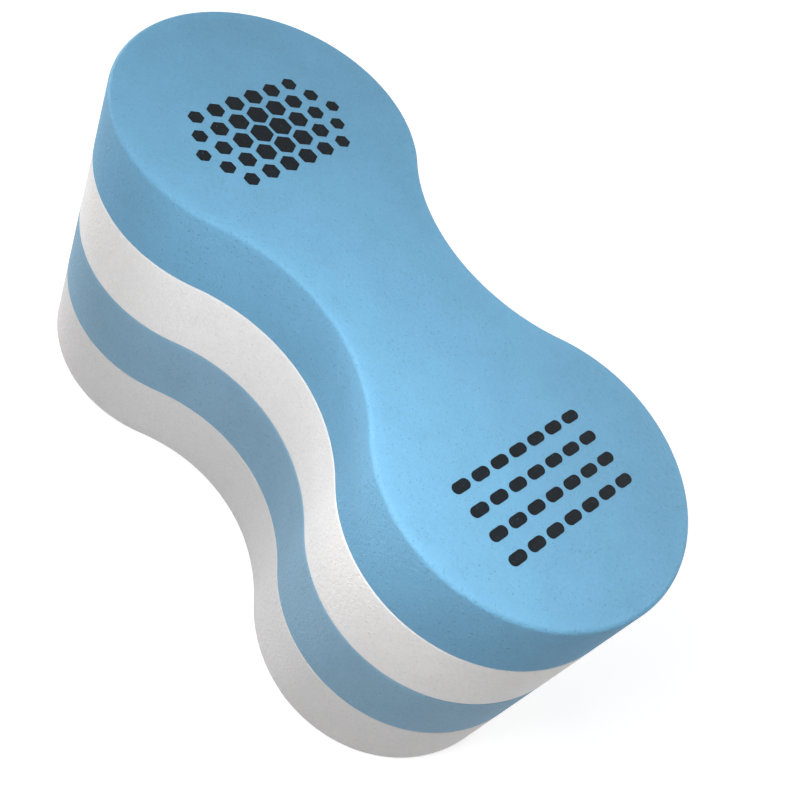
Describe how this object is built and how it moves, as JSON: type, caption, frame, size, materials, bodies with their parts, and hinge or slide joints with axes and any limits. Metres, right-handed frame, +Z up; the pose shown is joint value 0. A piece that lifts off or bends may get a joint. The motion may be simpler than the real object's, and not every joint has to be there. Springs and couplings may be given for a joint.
{
  "type": "pull buoy",
  "caption": "Figure-eight foam block in blue and white layers, held between the thighs at its waist to float a swimmer's legs.",
  "frame": {"origin": "centre of the underside, midway between the two lobes", "axes": "+X along the block from one lobe to the other, +Y across it through the waist, +Z up through the slabs, from the underside to the top face"},
  "size_m": [0.24, 0.102, 0.1206],
  "materials": {
    "blue_foam": "satin closed-cell EVA foam, fine-pored cut skin",
    "white_foam": "satin closed-cell EVA foam, fine-pored cut skin",
    "adhesive": "dried contact adhesive, dull",
    "print_ink": "satin screen-printing ink, near black"
  },
  "bodies": {
    "root": {"bottom_slab": "white_foam", "lower_middle_slab": "blue_foam", "upper_middle_slab": "white_foam", "top_slab": "blue_foam", "lower_glue_film": "adhesive", "middle_glue_film": "adhesive", "upper_glue_film": "adhesive"}
  },
  "joints": []
}
